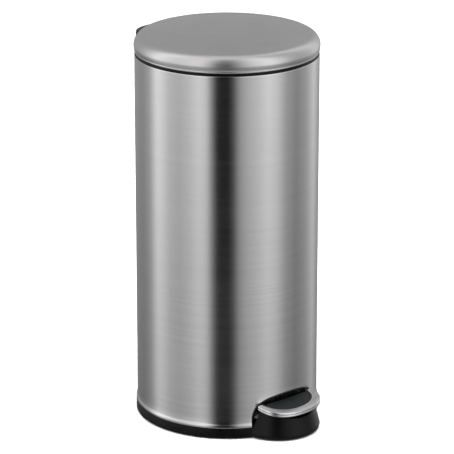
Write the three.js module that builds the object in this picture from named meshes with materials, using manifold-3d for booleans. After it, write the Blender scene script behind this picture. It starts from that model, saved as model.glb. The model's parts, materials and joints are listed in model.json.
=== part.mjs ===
// Step-on pedal bin, millimetres, +Z up. The pedal faces -Y and the lid hinge is at +Y.
// z = 0 is the underside of the rubber foot pads and the bin's axis is the Z axis.
import * as THREE from 'three';
import { mergeVertices } from 'three/addons/utils/BufferGeometryUtils.js';
import Module from 'manifold-3d';

const wasm = await Module();
wasm.setup();

// ---------------------------------------------------------------- driving dimensions
const SEG = 64;                 // facets round the big turned shapes
const SHELL_R = 146.5;          // outside radius of the steel body
const SHELL_T = 1.0;
const SHELL_Z0 = 18.5;          // bottom edge of the steel
const SHELL_Z1 = 598;           // top edge of the steel
const BEAD_R = 148.3;           // rolled bead round the bottom edge
const BASE_R = 148.3;
const BASE_Z0 = 1.5;
const FLOOR_Z = [44, 47];       // raised floor over the lever
const LID_R = 147.7;
const LID_Z0 = 603;
const LID_WALL = 9.5;           // height of the lid's upright side
const SHOULDER_R = 18;
const DOME_DEG = 11;            // slope of the dome where it meets the shoulder
const HINGE = [158, 604];       // y, z of the lid's hinge axis
const CRANK = 15.4;             // horizontal distance from hinge axis to push rod
const OPEN_DEG = 75;
const ROD_Y = HINGE[0] - CRANK;
const ROD_X = -6;
const ROD_R = 2;
const HALF = THREE.MathUtils.degToRad(OPEN_DEG / 2);
const ROD_TOP_Z = HINGE[1] - CRANK * Math.tan(HALF);
const PIVOT = [-90, 22];        // y, z of the pedal axle
const ROD_LOW_Y = 137;          // the rod steps inwards under the bucket
const ROD_LOW_Z = 10;
const BUMP_C = 122.5;           // the bumper's plan is a circle about this point ahead of the bin's axis
const PLATE = { fwd: 150, z: 54, slope: 0.2 };   // top face of the pedal
const HOOD_R = 148.2;           // the hood's front face follows the body at this radius

// ---------------------------------------------------------------- helpers
const solid = (g) => {
  let s = g.index ? g.toNonIndexed() : g.clone();
  const b = new THREE.BufferGeometry().setAttribute('position', s.getAttribute('position'));
  const m = mergeVertices(b, 2e-4);
  let tri = Array.from(m.index.array);
  const keep = [];
  for (let i = 0; i < tri.length; i += 3) {
    const [a, c, d] = [tri[i], tri[i + 1], tri[i + 2]];
    if (a !== c && c !== d && a !== d) keep.push(a, c, d);
  }
  const p = m.attributes.position.array;
  let vol = 0;
  for (let i = 0; i < keep.length; i += 3) {
    const [a, c, d] = [keep[i] * 3, keep[i + 1] * 3, keep[i + 2] * 3];
    vol += p[a] * (p[c + 1] * p[d + 2] - p[c + 2] * p[d + 1])
         - p[a + 1] * (p[c] * p[d + 2] - p[c + 2] * p[d])
         + p[a + 2] * (p[c] * p[d + 1] - p[c + 1] * p[d]);
  }
  if (vol < 0) for (let i = 0; i < keep.length; i += 3) [keep[i + 1], keep[i + 2]] = [keep[i + 2], keep[i + 1]];
  return new wasm.Manifold(new wasm.Mesh({
    numProp: 3, vertProperties: new Float32Array(p), triVerts: new Uint32Array(keep),
  }));
};
const toGeo = (man) => {
  const m = man.getMesh();
  const g = new THREE.BufferGeometry();
  const p = new Float32Array(m.numVert * 3);
  for (let i = 0; i < m.numVert; i++) for (let k = 0; k < 3; k++) p[i * 3 + k] = m.vertProperties[i * m.numProp + k];
  g.setAttribute('position', new THREE.BufferAttribute(p, 3));
  g.setIndex(Array.from(m.triVerts));
  g.computeVertexNormals();
  return g;
};
const join = (...s) => s.reduce((a, b) => a.add(b));
const cut = (s, ...c) => c.reduce((a, b) => a.subtract(b), s);

const box = (x0, x1, y0, y1, z0, z1) => {
  const g = new THREE.BoxGeometry(x1 - x0, y1 - y0, z1 - z0);
  g.translate((x0 + x1) / 2, (y0 + y1) / 2, (z0 + z1) / 2);
  return solid(g);
};
const cylZ = (r, z0, z1, x = 0, y = 0, n = 20, r2 = r) => {
  const g = new THREE.CylinderGeometry(r2, r, z1 - z0, n);
  g.rotateX(Math.PI / 2);
  g.translate(x, y, (z0 + z1) / 2);
  return solid(g);
};
const cylX = (r, x0, x1, y, z, n = 20) => {
  const g = new THREE.CylinderGeometry(r, r, x1 - x0, n);
  g.rotateZ(Math.PI / 2);
  g.translate((x0 + x1) / 2, y, z);
  return solid(g);
};
const cylY = (r, y0, y1, x, z, n = 20) => {
  const g = new THREE.CylinderGeometry(r, r, y1 - y0, n);
  g.translate(x, (y0 + y1) / 2, z);
  return solid(g);
};
const lathe = (profile, n = SEG) => {
  const pts = profile.map(([r, z]) => new THREE.Vector2(r, z));
  if (profile[0][0] > 1e-6) pts.push(pts[0].clone());
  const g = new THREE.LatheGeometry(pts, n);
  g.rotateX(Math.PI / 2);
  return solid(g);
};
// Closed outline in the YZ plane, extruded along X.
const plateX = (yz, x0, x1) => {
  const g = new THREE.ExtrudeGeometry(new THREE.Shape(yz.map(([y, z]) => new THREE.Vector2(y, z))), { depth: x1 - x0, bevelEnabled: false });
  const m = new THREE.Matrix4().set(0, 0, 1, x0, 1, 0, 0, 0, 0, 1, 0, 0, 0, 0, 0, 1);
  g.applyMatrix4(m);
  return solid(g);
};
// Solid through a stack of rings with the same number of points; the first and last ring are flat.
const loft = (rings) => {
  const n = rings[0].length;
  const pos = [];
  const push = (...v) => v.forEach((q) => pos.push(q[0], q[1], q[2]));
  for (let k = 0; k + 1 < rings.length; k++) {
    for (let i = 0; i < n; i++) {
      const j = (i + 1) % n;
      const a = rings[k][i], b = rings[k][j], c = rings[k + 1][j], d = rings[k + 1][i];
      push(a, b, c); push(a, c, d);
    }
  }
  const cap = (ring, flip) => {
    const o = new THREE.Vector3(...ring[0]);
    const c = ring.reduce((s, q) => s.add(new THREE.Vector3(...q)), new THREE.Vector3()).divideScalar(n);
    const nrm = new THREE.Vector3();
    ring.forEach((q, i) => {
      const a = new THREE.Vector3(...q).sub(c), b = new THREE.Vector3(...ring[(i + 1) % n]).sub(c);
      nrm.add(new THREE.Vector3().crossVectors(a, b));
    });
    nrm.normalize();
    const u = new THREE.Vector3(...ring[1]).sub(o).normalize();
    const v = new THREE.Vector3().crossVectors(nrm, u);
    const flat = ring.map((q) => { const w = new THREE.Vector3(...q).sub(o); return new THREE.Vector2(w.dot(u), w.dot(v)); });
    for (const [a, b, d] of THREE.ShapeUtils.triangulateShape(flat, [])) {
      if (flip) push(ring[a], ring[d], ring[b]); else push(ring[a], ring[b], ring[d]);
    }
  };
  cap(rings[0], true);
  cap(rings[rings.length - 1], false);
  const g = new THREE.BufferGeometry();
  g.setAttribute('position', new THREE.Float32BufferAttribute(pos, 3));
  return solid(g);
};
// Round bar along a line of points.
const bar = (pts, r, n = 12) => {
  const v = pts.map((p) => new THREE.Vector3(...p));
  const up = new THREE.Vector3(0, 0, 1);
  return loft(v.map((p, i) => {
    const t = new THREE.Vector3().subVectors(v[Math.min(i + 1, v.length - 1)], v[Math.max(i - 1, 0)]).normalize();
    const a = Math.abs(t.dot(up)) > 0.95 ? new THREE.Vector3(0, 1, 0) : up;
    const s = new THREE.Vector3().crossVectors(t, a).normalize();
    const w = new THREE.Vector3().crossVectors(s, t).normalize();
    return Array.from({ length: n }, (_, k) => {
      const q = (k / n) * 2 * Math.PI;
      return [p.x + r * (s.x * Math.cos(q) + w.x * Math.sin(q)), p.y + r * (s.y * Math.cos(q) + w.y * Math.sin(q)), p.z + r * (s.z * Math.cos(q) + w.z * Math.sin(q))];
    });
  }));
};
// Half outline, mirrored about x = 0.
const mirrored = (half) => [...half, ...half.slice().reverse().filter(([x]) => x > 1e-6).map(([x, z]) => [-x, z])];

const group = new THREE.Group();
const finish = {
  steel: { color: 0xa9a9ab, roughness: 0.32, metalness: 1 },
  hoop: { color: 0xb9bbbe, roughness: 0.25, metalness: 1 },
  black: { color: 0x101011, roughness: 0.42, metalness: 0 },
  bucket: { color: 0x1b1b1d, roughness: 0.5, metalness: 0 },
  rubber: { color: 0x171819, roughness: 0.75, metalness: 0 },
  zinc: { color: 0x9a9da1, roughness: 0.4, metalness: 1 },
};
const add = (name, man, look) => {
  const mesh = new THREE.Mesh(toGeo(man), new THREE.MeshStandardMaterial(finish[look]));
  mesh.name = name;
  group.add(mesh);
};

// ---------------------------------------------------------------- arch and hood outlines (x, z)
const ARCH = [[0, 66.8], [16, 66.2], [32, 64.2], [42, 61.7], [50, 58.4], [56, 54.2], [60, 49.2], [63, 43], [65, 35], [65, 18.8]];
const MOUTH = [[0, 63.6], [15.8, 63], [31.3, 61.1], [40.8, 58.7], [48.2, 55.6], [53.7, 51.7], [57.4, 47.1], [60.1, 41.6], [61.8, 34.5], [61.8, 30]];
const grown = (pts, d) => pts.map(([x, z], i) => {
  if (i === 0) return [0, z + d];
  if (i === pts.length - 1) return [x + d, z - d];
  const [xa, za] = pts[i - 1], [xb, zb] = pts[i + 1];
  const l = Math.hypot(xb - xa, zb - za);
  return [x + d * (za - zb) / l, z + d * (xb - xa) / l];
});
const ringAt = (half, fwd) => mirrored(half).map(([x, z]) => [x, -(typeof fwd === 'function' ? fwd(x) : fwd), z]);
const onCyl = (r) => (x) => Math.sqrt(r * r - x * x);

// ---------------------------------------------------------------- steel body
{
  const r = SHELL_R, q = SHELL_R - SHELL_T;
  const tube = lathe([[q, SHELL_Z0 + 7], [BEAD_R - 1, SHELL_Z0 + 4.5], [BEAD_R - 1, SHELL_Z0], [BEAD_R - 0.3, SHELL_Z0], [BEAD_R, SHELL_Z0 + 0.6], [BEAD_R, SHELL_Z0 + 4.6],
    [BEAD_R - 0.6, SHELL_Z0 + 6], [r, SHELL_Z0 + 7.4], [r, SHELL_Z1 - 0.7], [r - 0.4, SHELL_Z1], [q, SHELL_Z1]]);
  const lower = grown(ARCH, 0.35).map(([x, z], i, a) => (i === a.length - 1 ? [x, 10] : [x, z]));
  const arch = loft([ringAt(lower, 100), ringAt(lower, 160)]);
  const holes = [[-13, 552], [13, 552], [-13, 570], [13, 570]].map(([x, z]) => cylY(2.2, 130, 160, x, z, 12));
  const screwHoles = [-13, 13].map((x) => cylY(2.4, 130, 160, x, 561, 12));
  add('outer_shell', cut(tube, arch, box(-7, 7, 130, 160, 582, 610), ...holes, ...screwHoles), 'steel');
}

// ---------------------------------------------------------------- base: ring, raised floor, bumper
const bumperRadius = (z) => {
  const t = [[0, 64.6], [1.5, 65.2], [4, 66.6], [8.5, 67.4], [10.5, 67.0], [20, 64.6], [31, 60.8], [42, 57.0], [48, 55.0]];
  for (let i = 1; i < t.length; i++) if (z <= t[i][0]) {
    const f = (z - t[i - 1][0]) / (t[i][0] - t[i - 1][0]);
    return t[i - 1][1] + f * (t[i][1] - t[i - 1][1]);
  }
  return t[t.length - 1][1];
};
const bumperRing = (z, d, n = 48) => Array.from({ length: n }, (_, i) => {
  const a = (i / n) * 2 * Math.PI;
  const r = bumperRadius(z) - d;
  return [r * Math.sin(a), -BUMP_C - r * Math.cos(a), z];
});
{
  const outer = lathe([[142.4, BASE_Z0], [BASE_R - 0.8, BASE_Z0], [BASE_R, BASE_Z0 + 0.8], [BASE_R, 17.6], [BASE_R - 0.6, 18.2], [145.2, 18.2], [145.2, FLOOR_Z[1] - 1], [144.2, FLOOR_Z[1]], [0, FLOOR_Z[1]], [0, FLOOR_Z[0]],
    [142.4, FLOOR_Z[0]]].reverse().map((p) => p), SEG);
  const zs = [1.5, 8.5, 10.5, 20, 31, 47.8];
  const bump = loft(zs.map((z) => bumperRing(z, 0)));
  const bumpIn = loft([4.4, 9.5, 20, 31, 49].map((z) => bumperRing(z, 2.6)));
  // sloping top edge of the bumper wall
  const top = plateX([[-200, 43.8 - 0.32 * 50], [-200, 90], [-60, 90], [-60, 43.8 + 0.32 * 90]], -90, 90);
  let wall = cut(bump, bumpIn, top);
  wall = cut(wall, cylZ(142.4, -1, 60, 0, 0, SEG));
  wall = cut(wall, cylZ(HOOD_R + 0.35, 18.4, 60, 0, 0, SEG));
  let base = cut(outer, box(-74, 74, -150, -100, 18.5, 60), box(-60, 60, -160, -104, 18.5, 60));
  base = join(base, wall);
  // foot columns, axle lugs, stiffening ribs
  for (const a of [45, 135, 225, 315]) {
    const x = 128 * Math.cos(THREE.MathUtils.degToRad(a)), y = 128 * Math.sin(THREE.MathUtils.degToRad(a));
    base = join(base, cylZ(12, 3, FLOOR_Z[0] + 1, x, y, 20));
  }
  for (const s of [-1, 1]) {
    const x0 = s > 0 ? 16 : -21, x1 = s > 0 ? 21 : -16;
    base = join(base, plateX([[-98, FLOOR_Z[0] + 1], [-96.5, 17], [-93, 14], [-87, 14], [-83.5, 17], [-82, FLOOR_Z[0] + 1]], x0, x1));
    base = join(base, box(s > 0 ? 30 : -33, s > 0 ? 33 : -30, -96, 138, 34, FLOOR_Z[0] + 1));
  }
  base = cut(base, cylX(3.3, -30, 30, PIVOT[0], PIVOT[1], 20));
  base = cut(base, box(-11, 11, 128, 147.2, -1, FLOOR_Z[0]), box(-11, 11, 131, 147, 18.4, 60));
  add('base_moulding', base, 'black');
}

// ---------------------------------------------------------------- hood round the pedal
{
  const rim = grown(ARCH, -0.8).map(([x, z], i, a) => (i === a.length - 1 ? [x, 18.8] : [x, z]));
  const body = loft([ringAt(ARCH, 112), ringAt(ARCH, onCyl(HOOD_R - 0.8)), ringAt(rim, onCyl(HOOD_R))]);
  const mouth = loft([ringAt(MOUTH, 100), ringAt(MOUTH, 160)]);
  const hood = cut(body, mouth, box(-54, 54, -170, -100, 10, 50), cylZ(139.5, 0, 90, 0, 0, SEG));
  add('pedal_surround', hood, 'black');
}

// ---------------------------------------------------------------- feet
[45, 135, 225, 315].forEach((a, i) => {
  const x = 128 * Math.cos(THREE.MathUtils.degToRad(a)), y = 128 * Math.sin(THREE.MathUtils.degToRad(a));
  add('foot_pad_' + (i + 1), cylZ(9.4, 0, 2.7, x, y, 20, 10), 'rubber');
});

// ---------------------------------------------------------------- top collar and bucket
{
  const collar = lathe([[143, 575], [145.2, 575], [145.2, 597.9], [144.7, 598.3], [144.7, 602.2], [144.3, 602.6], [133, 602.6], [133, 593.5], [130, 593.5], [130, 590.5], [141, 590.5], [143, 588]].reverse());
  add('top_collar', cut(collar, box(-9, 9, 128, 160, 570, 620)), 'black');

  let bucket = lathe([[0, 56], [121, 56], [126, 61], [129.6, 590], [129.6, 593.8], [132.2, 593.8], [132.6, 594.3], [132.6, 596.3], [132.1, 596.8], [127.6, 596.8], [127.6, 590], [124, 62.2], [120.2, 58.2], [0, 58.2]].reverse(), 48);
  for (const a of [-130, -50]) {
    const t = THREE.MathUtils.degToRad(a);
    const g = new THREE.BoxGeometry(14, 10, 4);
    g.translate(123.4, 0, 578.4);
    g.rotateZ(t);
    bucket = join(bucket, solid(g));
  }
  bucket = cut(bucket, cylX(2.4, -140, 140, 0, 583, 14));
  add('inner_bucket', bucket, 'bucket');

  const arc = [];
  arc.push([133, 0, 583], [128, 0, 583], [122.5, 0, 583]);
  for (let a = -6; a >= -174; a -= 6) arc.push([121 * Math.cos(THREE.MathUtils.degToRad(a)), 121 * Math.sin(THREE.MathUtils.degToRad(a)), 583]);
  arc.push([-122.5, 0, 583], [-128, 0, 583], [-133, 0, 583]);
  add('bucket_bail', bar(arc, 1.9, 8), 'zinc');
  const grip = [], hole = [];
  for (let a = -108; a <= -72; a += 6) grip.push([121 * Math.cos(THREE.MathUtils.degToRad(a)), 121 * Math.sin(THREE.MathUtils.degToRad(a)), 583]);
  for (let a = -114; a <= -66; a += 6) hole.push([121 * Math.cos(THREE.MathUtils.degToRad(a)), 121 * Math.sin(THREE.MathUtils.degToRad(a)), 583]);
  add('bail_grip', cut(bar(grip, 4.6, 12), bar(hole, 2.35, 8)), 'black');
}

// ---------------------------------------------------------------- lid
const shoulderC = [LID_R - SHOULDER_R, LID_Z0 + LID_WALL];
const lidProfile = (t, n = 8, m = 9) => {
  const pts = [[LID_R - t, LID_Z0]];
  const rs = SHOULDER_R - t;
  const end = 90 - DOME_DEG;
  for (let i = 0; i <= n; i++) {
    const a = THREE.MathUtils.degToRad((end * i) / n);
    pts.push([shoulderC[0] + rs * Math.cos(a), shoulderC[1] + rs * Math.sin(a)]);
  }
  const e = pts[pts.length - 1];
  const slope = THREE.MathUtils.degToRad(DOME_DEG);
  const R = e[0] / Math.sin(slope);
  const zc = e[1] - R * Math.cos(slope);
  for (let i = 1; i <= m; i++) {
    const a = slope * (1 - i / m);
    pts.push([i === m ? 0 : R * Math.sin(a), zc + R * Math.cos(a)]);
  }
  return pts;
};
{
  const out = lidProfile(0, 5, 4), inn = lidProfile(1.0, 4, 2);
  const lid = lathe([...inn.slice().reverse(), ...out]);
  add('lid_shell', cut(lid, box(-20.8, 20.8, 138, 170, 590, 613)), 'steel');
  const liner = lathe([[0, 620], [136, 620], [136, 606], [145.6, 606], [145.6, 609], [138.5, 609], [138.5, 622.5], [0, 622.5]]);
  const holes = [[-10, 104], [10, 104], [0, 124]].map(([x, y]) => cylZ(1.9, 600, 640, x, y, 12));
  add('lid_liner', cut(liner, box(-20.8, 20.8, 129, 170, 600, 619), ...holes), 'bucket');
  [-90, 30, 150].forEach((a, i) => {
    const t = THREE.MathUtils.degToRad(a);
    add('lid_buffer_' + (i + 1), cylZ(3.2, 602.9, 605.7, 141 * Math.cos(t), 141 * Math.sin(t), 16, 3.6), 'rubber');
  });
  [[-10, 104], [10, 104], [0, 124]].forEach(([x, y], i) => add('lid_screw_' + (i + 1), join(cylZ(3.4, 615.2, 617.2, x, y, 16), cylZ(1.6, 617, 626, x, y, 12)), 'zinc'));

  // hinge arm: plate under the liner, two webs, barrel round the pin, slotted crank for the push rod
  const [hy, hz] = HINGE;
  let arm = box(-18, 18, 97, 131, 617.5, 619.7);
  const web = [[97, 619.7], [132, 619.7], [146.2, 610.8], [160, 609.4], [163, 606], [163, 602], [160, 598.7], [153, 600.6], [149, 603.9], [135, 606.8], [129.5, 615.5], [97, 615.8]];
  for (const s of [-1, 1]) arm = join(arm, plateX(web, s > 0 ? 14.5 : -18, s > 0 ? 18 : -14.5));
  arm = join(arm, cylX(6, -19.6, 19.6, hy, hz, 24));
  const cr = (r, h) => {
    const a = -HALF; // crank's angle below the horizontal at rest, pointing to -Y
    return [hy - r * Math.cos(a) - h * Math.sin(a), hz + r * Math.sin(a) - h * Math.cos(a)];
  };
  const capsule = (r0, r1, h, n = 6) => {
    const p = [];
    for (let i = 0; i <= n; i++) { const t = -Math.PI / 2 + (Math.PI * i) / n; p.push(cr(r1 + h * Math.cos(t), h * Math.sin(t))); }
    for (let i = 0; i <= n; i++) { const t = Math.PI / 2 + (Math.PI * i) / n; p.push(cr(r0 + h * Math.cos(t), h * Math.sin(t))); }
    return p;
  };
  const L0 = CRANK, L1 = CRANK / Math.cos(HALF);
  arm = join(arm, plateX(capsule(2, L1 - 1.2, 5.4), -2, 2));
  arm = cut(arm, plateX(capsule(L0 - 0.2, L1 + 0.2, ROD_R + 1.05), -4, 4));
  arm = cut(arm, cylX(2.8, -30, 30, hy, hz, 20));
  const screws = [[-10, 104], [10, 104], [0, 124]].map(([x, y]) => cylZ(1.9, 600, 640, x, y, 12));
  arm = cut(arm, ...screws);
  add('lid_hinge_arm', arm, 'zinc');
}

// ---------------------------------------------------------------- hinge bracket, pin and cover
{
  const [hy, hz] = HINGE;
  let br = box(-27, 27, 140, 151.5, 545, 588);
  const ear = [[142, 545], [151.5, 545], [152.5, 566], [164, 590], [164.5, 605], [161.5, 610], [156, 610.4], [151.6, 606.5], [151.6, 601.4], [142, 596]];
  for (const s of [-1, 1]) br = join(br, plateX(ear, s > 0 ? 20.6 : -25, s > 0 ? 25 : -20.6));
  br = cut(br, cylZ(SHELL_R + 0.3, 500, 640, 0, 0, SEG), box(-8, 8, 140, 170, 582, 620), cylX(2.8, -40, 40, hy, hz, 20));
  for (const z of [552, 570]) for (const x of [-13, 13]) br = cut(br, cylY(2.2, 130, 160, x, z, 12));
  for (const x of [-13, 13]) br = cut(br, cylY(2.3, 130, 160, x, 561, 12));
  add('hinge_bracket', br, 'zinc');
  add('hinge_pin', join(cylX(2.5, -30, 30, hy, hz, 20), cylX(4, -31.2, -25.6, hy, hz, 20)), 'zinc');
  add('pin_clip', cut(cylX(4.6, 26, 27.4, hy, hz, 20), cylX(2.8, 20, 40, hy, hz, 20)), 'zinc');
  let n = 0;
  for (const z of [552, 570]) for (const x of [-13, 13]) {
    n += 1;
    add('bracket_rivet_' + n, join(cylY(1.9, 144.4, 152.2, x, z, 12), cylY(3.2, 151.8, 153.2, x, z, 14), cylY(3.0, 143.2, 144.5, x, z, 14)), 'zinc');
  }
  const plan = (hw, depth, cy, pw, m = 32) => Array.from({ length: m }, (_, i) => {
    const a = (i / m) * 2 * Math.PI, c = Math.cos(a), s = Math.sin(a);
    return [hw * Math.sign(c) * Math.pow(Math.abs(c), 2 / pw), cy + depth * Math.sign(s) * Math.pow(Math.abs(s), 2 / pw)];
  });
  const rings = (hw, d, zs) => zs.map(([z, k]) => plan(hw - k, d - k, 146, 2.5).map(([x, y]) => [x, y, z]));
  let cov = loft(rings(48, 44, [[520, 9], [523, 4], [530, 1.2], [540, 0], [606, 0], [608, 0.6], [609, 2]]));
  cov = cut(cov, loft(rings(45.8, 41.8, [[523, 8], [531, 2], [541, 0], [606.6, 0]])));
  cov = cut(cov, box(-33, 33, 120, 170, 585, 640), box(-60, 60, 90, 152.5, 600.5, 640));
  for (const x of [-13, 13]) {
    cov = join(cov, cylY(5.2, 152.4, 189.4, x, 561, 18));
    cov = cut(cov, cylY(2.3, 130, 200, x, 561, 12), cylY(4.1, 156.4, 200, x, 561, 16));
  }
  cov = cut(cov, cylZ(SHELL_R + 0.3, 400, 700, 0, 0, SEG));
  add('hinge_cover', cov, 'black');
  [-13, 13].forEach((x, i) => add('cover_screw_' + (i + 1), join(cylY(3.6, 156.8, 159.4, x, 561, 16), cylY(1.95, 147.4, 157, x, 561, 12)), 'zinc'));
}

// ---------------------------------------------------------------- push rod, its clips and guides
{
  const y = ROD_Y, zt = ROD_TOP_Z, zb = ROD_LOW_Z;
  const yl = ROD_LOW_Y;
  const rod = join(
    bar([[ROD_X, yl, zb], [ROD_X, yl, 44], [ROD_X, yl + 0.4, 46.5], [ROD_X, y - 0.4, 58.5], [ROD_X, y, 61], [ROD_X, y, zt]], ROD_R, 12),
    bar([[ROD_X, y, zt], [5.6, y, zt]], ROD_R, 12), bar([[ROD_X, yl, zb], [5.6, yl, zb]], ROD_R, 12),
    solid(new THREE.SphereGeometry(ROD_R, 10, 6).translate(ROD_X, y, zt)), solid(new THREE.SphereGeometry(ROD_R, 10, 6).translate(ROD_X, yl, zb)));
  add('push_rod', rod, 'zinc');
  add('rod_clip_top', cut(cylX(3.0, 3.0, 4.2, y, zt, 16), cylX(2.3, 0, 10, y, zt, 16)), 'zinc');
  add('rod_clip_bottom', cut(cylX(4.2, 3.0, 4.2, ROD_LOW_Y, zb, 16), cylX(2.3, 0, 10, ROD_LOW_Y, zb, 16)), 'zinc');
  for (const [name, z] of [['rod_guide_upper', 520], ['rod_guide_lower', 90]]) {
    const g = cut(box(-14, 2, 139.2, 150, z, z + 12), cut(cylZ(170, 0, 700, 0, 0, SEG), cylZ(SHELL_R - SHELL_T - 0.35, -1, 701, 0, 0, SEG)), cylZ(ROD_R + 0.35, z - 5, z + 20, ROD_X, y, 16));
    add(name, g, 'black');
  }
}

// ---------------------------------------------------------------- pedal: hoop, pad, carrier, lever, axle
{
  const P = PLATE, tilt = Math.atan(P.slope), ct = Math.cos(tilt), st = Math.sin(tilt);
  // u runs forward in the plate's own plane from the reference line, v sideways, w straight up from its top face
  const at = (u, v, w) => [v, -(P.fwd + (u - P.fwd) * ct), P.z - (u - P.fwd) * st + w];
  const outline = (c0, F, W, n, back, m = 24) => {
    const lim = back > c0 ? Math.acos(Math.pow((back - c0) / F, n / 2)) : Math.PI / 2;
    const p = [];
    for (let i = 0; i <= m; i++) {
      const a = -lim + (2 * lim * i) / m, c = Math.cos(a), s = Math.sin(a);
      p.push([i === 0 || i === m ? Math.max(back, c0) : c0 + F * Math.pow(Math.abs(c), 2 / n), W * Math.sign(s) * Math.pow(Math.abs(s), 2 / n)]);
    }
    if (back < c0) { p.unshift([back, -W]); p.push([back, W]); }
    return p;
  };
  const slab = (o, w0, w1) => loft([o.map(([u, v]) => at(u, v, w0)), o.map(([u, v]) => at(u, v, w1))]);
  const OUT = (d) => outline(140, 45.2 - d, 60 - d, 2.35, 140.4);
  const INN = (d) => outline(140, 33.3 - d, 46.5 - d, 2.2, 140.4);
  let hoop = loft([OUT(0).map(([u, v]) => at(u, v, -7)), OUT(0).map(([u, v]) => at(u, v, -1.0)), OUT(0.9).map(([u, v]) => at(u, v, 0))]);
  const shift = (o, du) => o.map(([u, v]) => [u < 140.9 ? u + du : u, v]);
  hoop = cut(hoop, slab(shift(OUT(1.6), -3), -9, -1.6), slab(shift(INN(0), -3), -5, 3));
  add('pedal_hoop', hoop, 'hoop');
  const PAD = (d) => outline(140, 33.3 - d, 46.5 - d, 2.2, 142.4 + d);
  add('pedal_pad', loft([PAD(0.5).map(([u, v]) => at(u, v, -1.6)), PAD(0.5).map(([u, v]) => at(u, v, -0.4)), PAD(1.2).map(([u, v]) => at(u, v, 0.3))]), 'rubber');

  // carrier under hoop and pad, with a skirt inside the bumper wall
  const CAR = (d) => outline(136, 39.5 - d, 43 - d, 2.2, 136);
  let car = join(slab(CAR(0), -12.5, -2.4), slab(OUT(2.1), -3.4, -1.9));
  car = cut(car, slab(CAR(2.2).map(([u, v]) => [u < 137 ? 130 : u, v]), -16, -5.3));
  car = join(car, slab([[136, -15], [160, -15], [160, 15], [136, 15]], -8.6, -5));
  const screwAt = [-8, 8];
  const tiltCyl = (r, u, v, w0, w1, n = 14) => {
    const ring = (w) => Array.from({ length: n }, (_, i) => { const a = (i / n) * 2 * Math.PI; return at(u + r * Math.cos(a), v + r * Math.sin(a), w); });
    return loft([ring(w0), ring(w1)]);
  };
  for (const v of screwAt) car = cut(car, tiltCyl(1.8, 150, v, -14, -4.4));
  add('pedal_carrier', car, 'black');

  // lever: front pad, riser, strip to the rear, ear for the rod
  const [py, pz] = PIVOT;
  const f0 = at(141, 0, -8.9), f1 = at(159, 0, -8.9);
  const riser = [[f1[1], f1[2]], [f0[1], f0[2]], [-126, 38], [-104, 25], [-90, 19.5], [-60, 17.2], [124, 9.8], [124, 6.8], [-60, 14], [-90, 16.2], [-105, 21.8], [-128.2, 35.4], [f0[1] - 1.4, f0[2] - 3.0], [f1[1] - 0.5, f1[2] - 2.6]];
  let lev = plateX(riser, -11, 11);
  lev = join(lev, cylX(5.6, -15.4, 15.4, py, pz, 22));
  lev = join(lev, plateX([[100, 8.2], [116, 7.4], [131, 5.4], [140.4, 5.4], [142.4, 8], [142.4, 12.2], [140.4, 14.6], [131, 14.8], [116, 10.0], [100, 10.6]], -2, 2));
  lev = cut(lev, cylX(ROD_R + 0.75, -6, 6, ROD_LOW_Y, ROD_LOW_Z, 16), cylX(3.3, -30, 30, py, pz, 20));
  for (const v of screwAt) lev = cut(lev, tiltCyl(1.9, 150, v, -20, -4));
  add('pedal_lever', lev, 'zinc');
  screwAt.forEach((v, i) => add('pedal_screw_' + (i + 1), join(tiltCyl(3.4, 150, v, -14.4, -12.3, 14), tiltCyl(1.5, 150, v, -12.5, -4.8, 12)), 'zinc'));
  add('pedal_axle', cylX(3, -24.6, 24.6, py, pz, 20), 'zinc');
  [-1, 1].forEach((s, i) => add('axle_clip_' + (i + 1), cut(cylX(5.4, s > 0 ? 21.5 : -22.7, s > 0 ? 22.7 : -21.5, py, pz, 18), cylX(3.3, -30, 30, py, pz, 18)), 'zinc'));
}

export default group;
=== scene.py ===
import json
import math
import bpy
import bmesh
import numpy as np
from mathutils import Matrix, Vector


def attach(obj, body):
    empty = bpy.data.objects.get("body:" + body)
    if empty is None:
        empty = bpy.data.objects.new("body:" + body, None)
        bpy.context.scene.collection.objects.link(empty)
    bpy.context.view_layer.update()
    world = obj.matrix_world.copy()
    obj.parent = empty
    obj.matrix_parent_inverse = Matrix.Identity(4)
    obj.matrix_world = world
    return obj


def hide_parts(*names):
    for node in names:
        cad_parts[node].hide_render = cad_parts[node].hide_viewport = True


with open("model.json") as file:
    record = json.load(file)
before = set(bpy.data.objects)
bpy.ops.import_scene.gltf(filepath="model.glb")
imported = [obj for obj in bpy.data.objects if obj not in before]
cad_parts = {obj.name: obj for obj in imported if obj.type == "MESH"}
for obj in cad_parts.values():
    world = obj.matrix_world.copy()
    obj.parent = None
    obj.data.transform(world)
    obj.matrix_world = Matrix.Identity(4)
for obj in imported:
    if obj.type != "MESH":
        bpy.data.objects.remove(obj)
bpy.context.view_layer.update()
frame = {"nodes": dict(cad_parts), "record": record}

MM = 0.001
# ------------------------------------------------------------------ dimensions shared with the CAD part, in mm
SHELL_R, SHELL_T, SHELL_Z0, SHELL_Z1, BEAD_R = 146.5, 1.0, 18.5, 598.0, 148.3
LID_R, LID_Z0, LID_WALL, SHOULDER_R, DOME_DEG = 147.7, 603.0, 9.5, 18.0, 11.0
BUMP_C, HOOD_R = 122.5, 148.2
P_FWD, P_Z, P_SLOPE = 150.0, 54.0, 0.2
PIVOT_Y, PIVOT_Z = -90.0, 22.0
ARCH = [(0, 66.8), (16, 66.2), (32, 64.2), (42, 61.7), (50, 58.4), (56, 54.2), (60, 49.2), (63, 43), (65, 35), (65, 18.8)]
MOUTH = [(0, 63.6), (15.8, 63), (31.3, 61.1), (40.8, 58.7), (48.2, 55.6), (53.7, 51.7), (57.4, 47.1), (60.1, 41.6), (61.8, 34.5), (61.8, 30)]


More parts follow.
